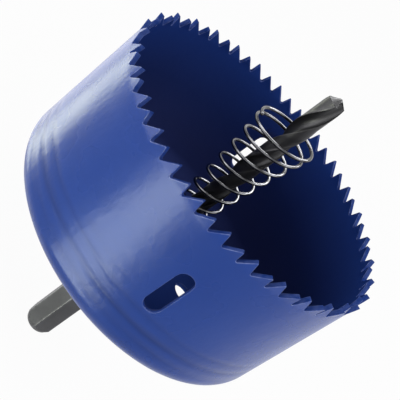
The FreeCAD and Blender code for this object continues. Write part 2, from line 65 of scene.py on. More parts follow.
def grid_quads(rows, columns, wrap_rows, wrap_columns, keep=None):
    """Corner numbers of each quad: (i, j), (i, j+1), (i+1, j+1), (i+1, j), wrapping where asked."""
    i, j = np.meshgrid(
        np.arange(rows if wrap_rows else rows - 1),
        np.arange(columns if wrap_columns else columns - 1),
        indexing="ij",
    )
    if keep is not None:
        keep = keep[:i.shape[0], :i.shape[1]]
        i, j = i[keep], j[keep]
    i_next, j_next = (i + 1) % rows, (j + 1) % columns
    corners = [i * columns + j, i * columns + j_next, i_next * columns + j_next, i_next * columns + j]
    return np.stack(corners, -1).reshape(-1, 4)


def patch(points, wrap_rows=False, wrap_columns=True, keep=None, edge=0.0, inside=0.0):
    """One grid of points in mm with its quads, and its edge and inside values at each point."""
    points = np.asarray(points, float)
    rows, columns = points.shape[:2]
    spread = np.ones((rows, columns))
    quads = grid_quads(rows, columns, wrap_rows, wrap_columns, keep)
    edge = (np.reshape(edge, (-1, 1)) if np.ndim(edge) == 1 else edge) * spread
    inside = (np.reshape(inside, (-1, 1)) if np.ndim(inside) == 1 else inside) * spread
    return points.reshape(-1, 3), quads, edge.ravel(), inside.ravel()


def make_piece(name, patches, node, finish, even=False):
    """Merges the patches into one smooth mesh that stands for a CAD node. Even shading weighs the
    normal at each point by the area of the faces round it."""
    counts = np.cumsum([0] + [len(p[0]) for p in patches[:-1]])
    points = np.concatenate([p[0] for p in patches]) * MM
    quads = np.concatenate([p[1] + start for p, start in zip(patches, counts)])
    mesh = bpy.data.meshes.new(name)
    mesh.from_pydata(points.tolist(), [], quads.tolist())
    for attribute, column in (("edge", 2), ("inside", 3)):
        values = np.concatenate([p[column] for p in patches]).astype(np.float32)
        mesh.attributes.new(attribute, "FLOAT", "POINT").data.foreach_set("value", values)
    shell = bmesh.new()
    shell.from_mesh(mesh)
    bmesh.ops.remove_doubles(shell, verts=shell.verts, dist=SAME_POINT)
    bmesh.ops.dissolve_degenerate(shell, dist=NO_LENGTH, edges=shell.edges)
    bmesh.ops.recalc_face_normals(shell, faces=shell.faces)
    open_edges = sum(1 for e in shell.edges if len(e.link_faces) != 2)
    shell.to_mesh(mesh)
    shell.free()
    mesh.polygons.foreach_set("use_smooth", np.ones(len(mesh.polygons), bool))
    mesh.materials.append(finish)
    piece = bpy.data.objects.new(name, mesh)
    bpy.context.scene.collection.objects.link(piece)
    if even:
        shading = piece.modifiers.new("even_shading", "WEIGHTED_NORMAL")
        shading.weight = 60
    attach(piece, "root")
    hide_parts(node)
    print(name, len(mesh.vertices), "points,", len(mesh.polygons), "faces,", open_edges, "open edges")
    return piece


def rounded_path(corners, radii, steps):
    """A polyline with its inner corners rounded. Each arc starts radius / tan(half angle) from its corner."""
    path = [np.array([corners[0]], float)]
    for before, corner, after, radius in zip(corners, corners[1:], corners[2:], radii):
        before, corner, after = (np.array(p, float) for p in (before, corner, after))
        a = (before - corner) / np.linalg.norm(before - corner)
        b = (after - corner) / np.linalg.norm(after - corner)
        half = math.acos(np.clip(a @ b, -1, 1)) / 2
        middle = corner + (a + b) / np.linalg.norm(a + b) * radius / math.sin(half)
        start = corner + a * radius / math.tan(half) - middle
        end = corner + b * radius / math.tan(half) - middle
        turn = math.atan2(start[0] * end[1] - start[1] * end[0], start @ end)
        t = np.linspace(0, turn, steps)[:, None]
        across = np.array([-start[1], start[0]])
        path.append(middle + np.cos(t) * start + np.sin(t) * across)
    path.append(np.array([corners[-1]], float))
    return np.concatenate(path)


def finer(path, longest):
    """The same polyline with its longer runs divided evenly, so that no run is above longest."""
    runs = [np.linspace(a, b, max(1, int(np.ceil(np.linalg.norm(b - a) / longest))), endpoint=False)
            for a, b in zip(path, path[1:])]
    return np.concatenate(runs + [path[-1:]])


print("tools ready")

# %% [markdown]
# A finish is a tree of small nodes. Each helper here adds one or two of them, so that the finishes
# below read as a recipe: noise, a change of its range, a mix of two colours, a bump.

# %% Node helpers
def new_material(name):
    """A material whose tree holds only its Principled shader and its output."""
    material = bpy.data.materials.new(name)
    material.use_nodes = True
    return material, material.node_tree, material.node_tree.nodes["Principled BSDF"]


def noise(tree, scale, detail=3.0, roughness=0.5, stretch=(1, 1, 1)):
    """Noise on Object coordinates in metres, stretched along the axes by Mapping."""
    where = tree.nodes.new("ShaderNodeTexCoord")
    mapping = tree.nodes.new("ShaderNodeMapping")
    mapping.inputs["Scale"].default_value = stretch
    texture = tree.nodes.new("ShaderNodeTexNoise")
    texture.inputs["Scale"].default_value = scale
    texture.inputs["Detail"].default_value = detail
    texture.inputs["Roughness"].default_value = roughness
    tree.links.new(where.outputs["Object"], mapping.inputs["Vector"])
    tree.links.new(mapping.outputs["Vector"], texture.inputs["Vector"])
    return texture.outputs["Fac"]


def remap(tree, value, low, high, to_low, to_high):
    """Moves a value from one range to another, and holds it there."""
    node = tree.nodes.new("ShaderNodeMapRange")
    for socket, number in zip(("From Min", "From Max", "To Min", "To Max"), (low, high, to_low, to_high)):
        node.inputs[socket].default_value = number
    tree.links.new(value, node.inputs["Value"])
    return node.outputs["Result"]


def mix_colours(tree, share, first, second):
    """Colour that goes from first to second as share goes from 0 to 1. Either may be a socket."""
    node = tree.nodes.new("ShaderNodeMix")
    node.data_type = "RGBA"
    tree.links.new(share, node.inputs[0])
    for socket, colour in ((node.inputs[6], first), (node.inputs[7], second)):
        if isinstance(colour, bpy.types.NodeSocket):
            tree.links.new(colour, socket)
        else:
            socket.default_value = (*colour, 1.0)
    return node.outputs[2]


def mesh_value(tree, name):
    """The number that the mesh carries under this name."""
    node = tree.nodes.new("ShaderNodeAttribute")
    node.attribute_name = name
    return node.outputs["Fac"]


def bump(tree, shader, height, strength, distance, before=None):
    """Tilts the surface by a height, after another bump if one is given."""
    node = tree.nodes.new("ShaderNodeBump")
    node.inputs["Strength"].default_value = strength
    node.inputs["Distance"].default_value = distance
    tree.links.new(height, node.inputs["Height"])
    if before is not None:
        tree.links.new(before, node.inputs["Normal"])
    tree.links.new(node.outputs["Normal"], shader.inputs["Normal"])
    return node.outputs["Normal"]


print("node helpers ready")

# %% [markdown]
# The paint is a gloss lacquer. Its base is one blue with faint clouds, because sprayed paint is never
# quite even. A fine bump gives the skin of an orange, which softens the edge of each reflection.
# Where the sheet turns a sharp corner the paint is thin and looks paler, and there the paler colour is
# also a painted highlight. Inside the cup the colour is darker: painted shade. Both come from the
# numbers that the mesh carries. Down by the cap the inside is mixed a little lighter again, as painted
# light, because hardly any light gets there.

# %% Colours of the lacquer
PAINT = (0.006, 0.045, 0.278)
PAINT_CLOUD = (0.010, 0.053, 0.298)
PAINT_INSIDE_SHADE = (0.021, 0.030, 0.112)
PAINT_DEEP_FILL_LIGHT = (0.036, 0.052, 0.185)
FILL_LIGHT_BELOW, FILL_LIGHT_GONE = 56 * MM, 78 * MM

blue_lacquer, tree, shader = new_material("blue_lacquer")
where = tree.nodes.new("ShaderNodeTexCoord")
parts = tree.nodes.new("ShaderNodeSeparateXYZ")
tree.links.new(where.outputs["Object"], parts.inputs[0])
height = parts.outputs["Z"]
inside = mesh_value(tree, "inside")
clouds = remap(tree, noise(tree, 28.0, 4.0), 0.35, 0.65, 0.0, 1.0)
fill_light_share = remap(tree, height, FILL_LIGHT_BELOW, FILL_LIGHT_GONE, 1.0, 0.0)
coat = mix_colours(tree, clouds, PAINT, PAINT_CLOUD)
# Inside, painted shade darkens the coat. Down by the cap, painted light lifts it a little again.
coat = mix_colours(tree, inside, coat, mix_colours(tree, fill_light_share, PAINT_INSIDE_SHADE, PAINT_DEEP_FILL_LIGHT))
print("lacquer:", PAINT, "outside and", PAINT_INSIDE_SHADE, "inside")

# %% [markdown]
# Where the band is welded to the pressed cap, shallow rings and streaks are left round the lower wall.
# They are about a tenth of a millimetre deep, so they aren't modelled: they are a dip in the height
# of a bump, and a little darker, which is painted shade in the dips. Each ring is a bell curve of the
# height: where it is, its width and its depth as a share of the deepest.

# %% Rings and streaks pressed into the lower wall
RINGS = [(63.3, 1.1, 1.0), (67.8, 0.9, 0.55), (59.4, 1.3, 0.5)]
STREAKS_FULL, STREAKS_GONE = 64 * MM, 76 * MM
ROUND_THE_WALL = (1, 1, 7)
PRESSED_SHADE, PRESSED_DEPTH = 0.6, 0.18 * MM


def maths(tree, operation, first, second=0.0):
    """One calculation on two values. Either may be a socket or a number."""
    node = tree.nodes.new("ShaderNodeMath")
    node.operation = operation
    for socket, value in zip(node.inputs, (first, second)):
        if isinstance(value, bpy.types.NodeSocket):
            tree.links.new(value, socket)
        else:
            socket.default_value = value
    return node.outputs[0]


def times(tree, first, second):
    """The product of two values."""
    return maths(tree, "MULTIPLY", first, second)


def dip(tree, height, at, width):
    """A shallow ring pressed in at one height: exp(-((z - at) / width)^2), in mm."""
    apart = maths(tree, "DIVIDE", maths(tree, "SUBTRACT", height, at * MM), width * MM)
    return maths(tree, "EXPONENT", times(tree, times(tree, apart, apart), -1.0))


pressed = 0.0
for at, width, depth in RINGS:
    pressed = maths(tree, "ADD", pressed, times(tree, dip(tree, height, at, width), depth))
low = remap(tree, height, STREAKS_FULL, STREAKS_GONE, 0.55, 0.08)
streaks = remap(tree, noise(tree, 46.0, 2.0, 0.5, ROUND_THE_WALL), 0.4, 0.7, 0.0, 1.0)
uneven = remap(tree, noise(tree, 22.0, 2.0), 0.35, 0.65, 0.35, 1.0)
outside_only = maths(tree, "SUBTRACT", 1.0, maths(tree, "MINIMUM", times(tree, inside, 3.0), 1.0))
pressed = maths(tree, "ADD", pressed, times(tree, streaks, low))
pressed = times(tree, times(tree, pressed, uneven), outside_only)
# The rings and streaks are darkened in colour as well: painted shade.
coat = mix_colours(tree, times(tree, pressed, PRESSED_SHADE), coat, tuple(c * 0.5 for c in PAINT))
print("pressed rings at", [at for at, _, _ in RINGS], "mm")

# %% Thin paint and painted highlights on the edges, the gloss and the orange skin
PAINT_THIN_AND_HIGHLIGHT = (0.14, 0.19, 0.45)
GLOSSY, LESS_GLOSSY, DULL_INSIDE = 0.25, 0.31, 0.25
CLEAR_COAT = 0.27

patchy = remap(tree, noise(tree, 420.0, 2.0), 0.35, 0.6, 0.15, 1.0)
# Paler at marked edges: thin paint, and a painted highlight along the teeth, slots and holes.
coat = mix_colours(tree, times(tree, mesh_value(tree, "edge"), patchy), coat, PAINT_THIN_AND_HIGHLIGHT)
tree.links.new(coat, shader.inputs["Base Color"])
gloss = remap(tree, noise(tree, 60.0, 3.0), 0.3, 0.7, GLOSSY, LESS_GLOSSY)
dull = remap(tree, inside, 0.0, 0.5, 0.0, DULL_INSIDE)
tree.links.new(maths(tree, "ADD", gloss, dull), shader.inputs["Roughness"])
tree.links.new(remap(tree, inside, 0.0, 0.1, CLEAR_COAT, 0.0), shader.inputs["Specular IOR Level"])
relief = bump(tree, shader, maths(tree, "SUBTRACT", 1.0, pressed), 1.0, PRESSED_DEPTH)
relief = bump(tree, shader, noise(tree, 160.0, 4.0, 0.65, (1, 1, 0.6)), 1.0, 0.15 * MM, relief)
bump(tree, shader, noise(tree, 650.0, 2.0), 0.3, 0.04 * MM, relief)
print("blue lacquer made")

# %% [markdown]
# The band is a strip of sheet rolled into a ring. It is worked out flat first: along the strip (s),
# up it (z) and into its thickness (depth). The top of the strip follows the outline of the teeth,
# with a small round at each tip and a larger one in each gullet. Lower down, the columns slide
# sideways until they are evenly spaced. Last, the strip is rolled, and the teeth lean out and in.

# %% Outline of one tooth
RADIUS, SHEET = 49.0, 1.5
SEAM, GULLETS, TOOTH_HEIGHT, TOOTH_SET = 63.5, 97.0, 3.4, 0.65
TEETH = 60
PITCH = 2 * math.pi * RADIUS / TEETH
TIP_LAND, RAKE_RUN, GULLET_FLOOR = 0.35, 0.6, 0.5
TIP_ROUND, GULLET_ROUND = 0.14, 0.405
EDGE = 0.12

half_land = TIP_LAND / 2
front_slope = RAKE_RUN / TOOTH_HEIGHT
back_slope = (PITCH - TIP_LAND - RAKE_RUN - GULLET_FLOOR) / TOOTH_HEIGHT
vee_depth = GULLET_FLOOR / (front_slope + back_slope)
vee = (half_land + RAKE_RUN + front_slope * vee_depth, -vee_depth)
tooth = rounded_path(
    [(-half_land, TOOTH_HEIGHT), (half_land, TOOTH_HEIGHT), vee,
     (PITCH - half_land, TOOTH_HEIGHT), (PITCH + half_land, TOOTH_HEIGHT)],
    [TIP_ROUND, GULLET_ROUND, TIP_ROUND], 5)[1:-1]
tooth = finer(tooth, 0.85)
print("tooth outline:", len(tooth), "points, pitch", round(PITCH, 3), "mm")

# %% The whole outline, and the same outline moved into the steel
outline = np.concatenate([tooth + (PITCH * k, 0) for k in range(TEETH)])
tangent = np.roll(outline, -1, 0) - np.roll(outline, 1, 0)
tangent[0, 0] += PITCH * TEETH
tangent[-1, 0] += PITCH * TEETH
tangent /= np.linalg.norm(tangent, axis=1)[:, None]
into_steel = np.stack([tangent[:, 1], -tangent[:, 0]], 1)
columns = len(outline)
even_s = outline[0, 0] + np.arange(columns) * PITCH * TEETH / columns
tooth_of_column = np.floor((outline[:, 0] - vee[0]) / PITCH).astype(int) + 1
lean = np.where(tooth_of_column % 2 == 0, TOOTH_SET, -TOOTH_SET)
print("band:", columns, "columns")


def roll(s, z, depth, lean_here):
    """Rolls the strip: angle = s / radius; the radius grows by lean times the height above the gullets."""
    above = np.clip((z - GULLETS) / TOOTH_HEIGHT, 0, 1.1)
    r = RADIUS - depth + lean_here * above
    return np.stack([r * np.cos(s / RADIUS), r * np.sin(s / RADIUS), z], -1)


# %% Rows of the band, up the outside, over the rim and down the inside
LEVEL_ROWS, CLIMB_ROWS = 16, 8
straight = SEAM + np.concatenate([[0.3], np.linspace(2.6, 29.5, LEVEL_ROWS)])
climb = 1 - (1 - np.linspace(0, 1, CLIMB_ROWS + 1)[1:]) ** 1.6
edge_turns = np.radians([30, 60, 90])


def band_rows(depth, flip):
    """Rows at one depth: straight ones, then ones that climb to the outline, then the edge's round."""
    rows, edges = [], []
    for z in straight:
        rows.append(roll(even_s, np.full(columns, z), depth, lean))
        edges.append(np.zeros(columns))
    inset = outline + into_steel * EDGE + (0, GULLETS)
    for share in climb:
        s = even_s + (inset[:, 0] - even_s) * share
        z = straight[-1] + (inset[:, 1] - straight[-1]) * share
        rows.append(roll(s, z, depth, lean))
        edges.append(np.full(columns, 1.0 if share == 1 else 0.0))
    for turn in edge_turns:
        line = outline + into_steel * EDGE * (1 - math.sin(turn)) + (0, GULLETS)
        into = EDGE * (1 - math.cos(turn))
        rows.append(roll(line[:, 0], line[:, 1], depth + into if not flip else depth - into, lean))
        edges.append(np.full(columns, 1.0 if turn < 1.5 else 0.3))
    return rows, edges


def seam_rows(flip):
    """The lower rim, which meets the cap's rim flush. Two close rows keep the wall's shading straight."""
    heights = (0.0, 0.01) if flip else (0.01, 0.0)
    return [roll(even_s, np.full(columns, SEAM + z), SHEET if flip else 0.0, lean) for z in heights]


outer, outer_edge = band_rows(0.0, False)
inner, inner_edge = band_rows(SHEET, True)
lower_out, lower_in = seam_rows(False), seam_rows(True)
band_grid = np.stack(lower_out[::-1] + outer + inner[::-1] + lower_in[::-1])
band_edge = np.stack([np.zeros(columns)] * 2 + outer_edge + inner_edge[::-1] + [np.zeros(columns)] * 2)
# The inside value grows towards the seam, so the painted shade inside the band deepens towards the cap.
INSIDE_SHADE_FADE = 33.0
inner_height = np.array([row[:, 2].mean() for row in inner[::-1]]) - SEAM
inside_shade_rows = 1 - 0.5 * np.clip(inner_height / INSIDE_SHADE_FADE, 0, 1)
band_inside_shade = np.concatenate([np.zeros(1 + len(outer)), [0.3, 0.4], inside_shade_rows[1:], np.ones(2)])
print("band grid:", band_grid.shape[:2])

# %% [markdown]
# Two slots go through the wall, for a lever that pushes a stuck disc out. A hole in a grid is made
# without any cutting: a block of quads is left out, and rings of quads run from its border to the
# hole's edge, round that edge, through the sheet and out to the same border on the other side.

# %% A hole through a sheet
def border(block):
    """The points round a block of a grid, once round, starting at its first corner."""
    return np.concatenate([block[0, :-1], block[:-1, -1], block[-1, :0:-1], block[:0:-1, 0]])


def hole(sheet_border, middle, half_straight, radius, thickness, place):
    """Rings of points through a sheet. Each point of the border goes to the nearest point of the hole's
    edge: middle, moved along its straight part, plus radius in the direction of the border point."""
    offset = sheet_border - middle
    core = np.stack([np.zeros(len(offset)), np.clip(offset[:, 1], -half_straight, half_straight)], 1)
    away = offset - core
    away /= np.linalg.norm(away, axis=1)[:, None]
    core = core + middle
    near = core + away * (radius + EDGE)
    rings, edges = [], []
    for share in (0, 0.4, 0.7, 0.9, 1):
        rings.append((sheet_border + (near - sheet_border) * share, 0.0))
        edges.append(0.3 if share == 1 else 0.0)
    for turn in edge_turns:
        rings.append((core + away * (radius + EDGE * (1 - math.sin(turn))), EDGE * (1 - math.cos(turn))))
        edges.append(0.5 if turn < 1.5 else 0.15)
    both = rings + [(line, thickness - depth) for line, depth in rings[::-1]]
    return np.stack([place(line, depth) for line, depth in both]), np.array(edges + edges[::-1])


print("each hole is rounded by", EDGE, "mm")

# %% The two slots, and the band
SLOTS = [(285.8, "front"), (93.9, "far")]
SLOT_LENGTH, SLOT_WIDTH, SLOT_TOP = 16.2, 5.4, GULLETS - 11.7
SLOT_BORDER, SLOT_COLUMNS = 1.8, 14
slot_middle = SLOT_TOP - SLOT_LENGTH / 2
below = len(lower_out)
first_row = below + int(np.searchsorted(straight, slot_middle - SLOT_LENGTH / 2 - SLOT_BORDER)) - 1
last_row = below + int(np.searchsorted(straight, slot_middle + SLOT_LENGTH / 2 + SLOT_BORDER))
keep = np.ones((len(band_grid), columns), bool)
band_patches = []
for angle, label in SLOTS:
    s_middle = math.radians(angle) * RADIUS
    centre_column = int(round((s_middle - even_s[0]) / (even_s[1] - even_s[0])))
    picked = np.arange(centre_column - SLOT_COLUMNS, centre_column + SLOT_COLUMNS + 1)
    wrapped = picked % columns
    keep[first_row:last_row, wrapped[:-1]] = False
    mirror_first = len(band_grid) - 1 - last_row
    mirror_last = len(band_grid) - 1 - first_row
    keep[mirror_first:mirror_last, wrapped[:-1]] = False
    block_s = even_s[0] + picked * (even_s[1] - even_s[0])
    block_z = straight[first_row - below:last_row - below + 1]
    block = np.stack(np.meshgrid(block_s, block_z), -1)
    rings, ring_edges = hole(
        border(block), np.array([s_middle, slot_middle]), (SLOT_LENGTH - SLOT_WIDTH) / 2, SLOT_WIDTH / 2,
        SHEET, lambda line, depth: roll(line[:, 0], line[:, 1], depth, 0.0))
    band_patches.append(patch(rings, edge=ring_edges, inside=np.linspace(0, 1, len(rings)) > 0.5))
    print(label, "slot at", angle, "degrees, rows", first_row, "to", last_row)

band_patches.append(patch(band_grid, wrap_rows=True, keep=keep, edge=band_edge, inside=band_inside_shade))
make_piece("saw_band", band_patches, "toothed_band", blue_lacquer)

# %% [markdown]
# The cap is drawn from one disc, so its corner is a smooth round. It is a turned surface: a section
# of radius and height, carried round the axis. Its two drive holes are made as the slots were.

# %% The cap's section, from the middle hole out, up the wall and back inside
CAP_FACE, CORNER, NOSE_HOLE = 51.0, 6.4, 6.45
DRIVE_CIRCLE, DRIVE_RADIUS, DRIVE_ANGLE = 18.9, 3.2, -2.0
flat_radii = np.array([
    7.2, 9.0, 11.0, 12.6, 14.0, 15.5, 17.2, 18.9, 20.6, 22.3, 23.8, 25.4, 28.0, 32.0, 37.0, 41.0])
quarter = np.radians(np.linspace(0, 90, 15))


def flat_part(z):
    """The cap's flat at one height, from the middle out."""
    return np.stack([flat_radii, np.full(len(flat_radii), z)], 1)


def corner_part(radius):
    """A quarter circle from the flat to the wall: radius x sine further out, radius x cosine lower."""
    middle_r, middle_z = RADIUS - CORNER, CAP_FACE + CORNER
    return np.stack([middle_r + radius * np.sin(quarter), middle_z - radius * np.cos(quarter)], 1)


hole_lip = [(NOSE_HOLE, CAP_FACE + EDGE), (NOSE_HOLE + 0.04, CAP_FACE + 0.04), (NOSE_HOLE + EDGE, CAP_FACE)]
weld = [(RADIUS, SEAM - 2.2), (RADIUS, SEAM - 0.6), (RADIUS, SEAM - 0.01),
        (RADIUS, SEAM), (RADIUS - 0.01, SEAM), (RADIUS - SHEET + 0.01, SEAM), (RADIUS - SHEET, SEAM)]
inner_wall = [(RADIUS - SHEET, SEAM - 0.01), (RADIUS - SHEET, SEAM - 2.2)]
inner_lip = [(NOSE_HOLE + 0.1, CAP_FACE + SHEET), (NOSE_HOLE, CAP_FACE + SHEET - 0.1)]
outer_side = np.concatenate([hole_lip, flat_part(CAP_FACE), corner_part(CORNER), weld])
inner_side = np.concatenate([
    inner_wall, corner_part(CORNER - SHEET)[::-1], flat_part(CAP_FACE + SHEET)[::-1], inner_lip])
cap_section = np.concatenate([outer_side, inner_side])
cap_columns = 288
cap_angles = np.radians(np.arange(cap_columns) * 360 / cap_columns)


def turn_section(section, angles):
    """A turned surface: (r cos angle, r sin angle, z) for each point of the section and each angle."""
    r, z = section[:, 0][:, None], section[:, 1][:, None]
    ones = np.ones((1, len(angles)))
    return np.stack([r * np.cos(angles)[None], r * np.sin(angles)[None], z * ones], -1)


cap_grid = turn_section(cap_section, cap_angles)
print("cap grid:", cap_grid.shape[:2])

# %% The two drive holes, and the cap
HOLE_FROM, HOLE_TO, HOLE_COLUMNS = 3, 11, 14
cap_keep = np.ones(cap_grid.shape[:2], bool)
cap_patches = []
count_out = len(outer_side)
low_row, high_row = len(hole_lip) + HOLE_FROM, len(hole_lip) + HOLE_TO
inner_high = count_out + len(inner_wall) + len(quarter) + len(flat_radii) - 1 - HOLE_FROM
inner_low = inner_high - (HOLE_TO - HOLE_FROM)
for turn in (DRIVE_ANGLE, DRIVE_ANGLE + 180):
    centre_column = int(round(turn * cap_columns / 360))
    picked = np.arange(centre_column - HOLE_COLUMNS, centre_column + HOLE_COLUMNS + 1)
    cap_keep[low_row:high_row, (picked % cap_columns)[:-1]] = False
    cap_keep[inner_low:inner_high, (picked % cap_columns)[:-1]] = False
    radii = flat_radii[HOLE_FROM:HOLE_TO + 1, None]
    turns_here = np.radians(picked * 360 / cap_columns)
    block = np.stack([radii * np.cos(turns_here), radii * np.sin(turns_here)], -1)
    middle = DRIVE_CIRCLE * np.array([math.cos(math.radians(turn)), math.sin(math.radians(turn))])
    rings, ring_edges = hole(
        border(block), middle, 0.0, DRIVE_RADIUS, SHEET,
        lambda line, depth: np.concatenate([line, np.full((len(line), 1), CAP_FACE + depth)], 1))
    cap_patches.append(patch(rings, edge=ring_edges, inside=0.5 * (np.linspace(0, 1, len(rings)) > 0.5)))
# The inside value weighs the painted shade: half on the middle of the floor, full from the corner up.
inner_side_shade = np.interp(inner_side[:, 0], [24, 38], [0.5, 1.0])
cap_inside_shade = np.concatenate([np.zeros(count_out - 1), inner_side_shade, [0.5]])
# A pale band across the cap's round outer corner is a painted highlight.
painted_highlight_row = len(hole_lip) + len(flat_radii) + 3
cap_edge = np.zeros(len(cap_section))
cap_edge[:len(hole_lip)] = 1.0
cap_edge[-len(inner_lip):] = 1.0
cap_edge[painted_highlight_row:painted_highlight_row + 4] = (0.12, 0.28, 0.28, 0.12)
cap_patches.append(patch(cap_grid, wrap_rows=True, keep=cap_keep, edge=cap_edge, inside=cap_inside_shade))
make_piece("saw_cap", cap_patches, "end_cap", blue_lacquer)

# %% [markdown]
# All the other pieces are bare, plated or blacked steel. One function makes the five finishes: two
# close greys with faint stains, fine lines from the tool that turned the piece or from its rolling,
# and a paler metal where an edge is worn, which on the arbor's corners and end and on the drill's
# margins is partly a painted highlight. The lines are noise drawn out round the axis or along it.

# %% Steel finishes
ROUND_LINES, LONG_LINES = (90.0, 90.0, 5200.0), (4200.0, 4200.0, 120.0)


def steel(name, dark, light, metal, rough, turned, grain):
    """Steel with faint stains and fine lines, which run round the piece if it is turned, else along it."""
    material, tree, shader = new_material(name)
    stains = remap(tree, noise(tree, 90.0, 4.0), 0.35, 0.65, 0.0, 1.0)
    colour = mix_colours(tree, stains, dark, light)
    # Paler where the mesh marks an edge: wear, and on some edges a painted highlight.
    pale = tuple(min(1.0, c * 1.9 + 0.03) for c in light)
    patchy = remap(tree, noise(tree, 700.0, 2.0), 0.35, 0.65, 0.1, 0.9)
    colour = mix_colours(tree, times(tree, mesh_value(tree, "edge"), patchy), colour, pale)
    tree.links.new(colour, shader.inputs["Base Color"])
    shader.inputs["Metallic"].default_value = metal
    lines = noise(tree, 1.0, 3.0, 0.6, ROUND_LINES if turned else LONG_LINES)
    tree.links.new(remap(tree, lines, 0.3, 0.7, rough - 0.06, rough + 0.06), shader.inputs["Roughness"])
    relief = bump(tree, shader, lines, grain, 0.02 * MM)
    bump(tree, shader, noise(tree, 1800.0, 2.0), grain * 0.6, 0.01 * MM, relief)
    return material


arbor_steel = steel("arbor_steel", (0.044, 0.045, 0.049), (0.064, 0.065, 0.070), 0.55, 0.38, True, 0.5)
screw_steel = steel("screw_steel", (0.016, 0.016, 0.018), (0.03, 0.03, 0.032), 0.6, 0.38, False, 0.4)
zinc_steel = steel("zinc_steel", (0.42, 0.43, 0.44), (0.55, 0.56, 0.57), 1.0, 0.34, False, 0.5)
drill_steel = steel("drill_steel", (0.016, 0.016, 0.018), (0.032, 0.032, 0.035), 0.5, 0.36, False, 0.6)
spring_steel = steel("spring_steel", (0.05, 0.05, 0.054), (0.12, 0.122, 0.128), 1.0, 0.12, False, 0.25)
print("steel finishes made")

# %% [markdown]
# The arbor is turned from hexagon bar: its shank keeps the six flats, and a cone is turned on the
# end. Where the cone cuts the flats it leaves curved edges. One rule gives both: each point of the
# hexagon is pulled in to the cone's radius wherever it would stand outside it.

# %% A hexagon with softened corners
def hexagon(across_flats, turn, corner_round, steps=7, per_flat=9):
    """Points round a hexagon: six corner arcs joined by flats, turned so that a corner is at turn."""
    corner = across_flats / math.sqrt(3)
    ring = np.radians(turn + 60 * np.arange(-1, 8))
    corners = np.stack([corner * np.cos(ring), corner * np.sin(ring)], 1)
    path = rounded_path(corners, [corner_round] * 7, steps)[1:-1]
    one_side = np.concatenate([path[:steps], np.linspace(path[steps - 1], path[steps], per_flat + 2)[1:-1]])
    sides = []
    for k in range(6):
        a = math.radians(60 * k)
        sides.append(one_side @ np.array([[math.cos(a), math.sin(a)], [-math.sin(a), math.cos(a)]]))
    return np.concatenate(sides)


def stack_rings(rings):
    """Rings of (x, y) with a height each, as one grid. A ring of one point closes an end."""
    count = max(len(line) for line, _ in rings)
    return np.stack([
        np.concatenate([np.broadcast_to(line, (count, 2)), np.full((count, 1), z)], 1) for line, z in rings])


def thread(line, z, pitch, radius, depth):
    """One ring of a screw thread, in the directions of line: the radius less the depth times a zigzag,
    which runs from 1 to 0 and back once in each pitch of height or turn of angle."""
    phase = z / pitch - np.arctan2(line[:, 1], line[:, 0]) / (2 * math.pi)
    zigzag = np.abs((phase % 1.0) * 2 - 1)
    return line / np.linalg.norm(line, axis=1)[:, None] * (radius - depth * zigzag)[:, None]


CENTRE = np.zeros((1, 2))


SHANK_FLATS, SHANK_TURN, SHANK_LENGTH = 9.5, -82.8, 31.0
SHANK_END, LEAD_IN = 4.2, 3.0
shank_outline = hexagon(SHANK_FLATS, SHANK_TURN, 0.35)
shank_reach = np.linalg.norm(shank_outline, axis=1)[:, None]
print("shank outline:", len(shank_outline), "points")

# %% The arbor, ring by ring from the shank's end to the nose, and down its bore
around = len(shank_outline)
corner_reach = SHANK_FLATS / math.sqrt(3)


def cone_limit(z):
    """Radius of the turned end: it grows evenly from the end face to the hexagon's corners."""
    return SHANK_END + (corner_reach - SHANK_END) * z / LEAD_IN


def clipped(z):
    """The hexagon pulled in to the cone's radius wherever it stands outside it."""
    return shank_outline * np.minimum(1.0, cone_limit(z) / shank_reach)


def circle(radius):
    """A circle with as many points as the hexagon, at the hexagon's own angles."""
    return shank_outline / shank_reach * radius


arbor_rings = [(CENTRE, 0.35), (circle(0.7), 0.32), (circle(1.1), 0.0), (circle(2.4), 0.0)]
arbor_rings += [(circle(SHANK_END - r), z) for r, z in ((0.3, 0.0), (0.14, 0.04), (0.04, 0.14), (0.0, 0.3))]
hexagon_first = len(arbor_rings)
arbor_rings += [(clipped(z), z + 0.05 if z < 0.4 else z) for z in np.linspace(0.3, 3.1, 22)]
arbor_rings += [(shank_outline, z) for z in np.linspace(3.6, SHANK_LENGTH - 0.3, 12)]
arbor_rings += [(shank_outline * 1.01, SHANK_LENGTH - 0.05), (shank_outline * 1.05, SHANK_LENGTH)]
hexagon_end = len(arbor_rings)
COLLAR, COLLAR_ROWS = 11.0, 21
arbor_rings += [(circle(r), SHANK_LENGTH + z) for r, z in (
    (7.5, 0.0), (9.8, 0.0), (10.05, 0.03), (10.9, 0.88), (COLLAR, 1.1))]
collar_first = len(arbor_rings) - 1
arbor_rings += [(circle(COLLAR), z) for z in np.linspace(SHANK_LENGTH + 1.1, CAP_FACE - 1.1, COLLAR_ROWS)[1:]]
arbor_rings += [(circle(r), CAP_FACE + z) for r, z in (
    (10.9, -0.88), (10.05, -0.03), (9.8, 0.0), (8.0, 0.0), (6.5, 0.0), (6.35, 0.15))]
NOSE, BORE = CAP_FACE + 8.5, 3.225
arbor_rings += [(thread(shank_outline, z, 1.27, 6.33, 0.22), z)
                for z in np.arange(CAP_FACE + 0.3, NOSE - 0.6, 0.13)]
arbor_rings += [(circle(r), NOSE + z) for r, z in (
    (6.0, -0.35), (5.7, -0.04), (5.6, 0.0), (4.4, 0.0), (3.5, 0.0), (3.27, -0.05), (BORE, -0.15),
    (BORE, -10.5), (BORE, -20.5), (BORE, -25.8))]
arbor_rings += [(CENTRE, NOSE - 25.9)]
arbor_grid = stack_rings(arbor_rings)
print("arbor grid:", arbor_grid.shape[:2])

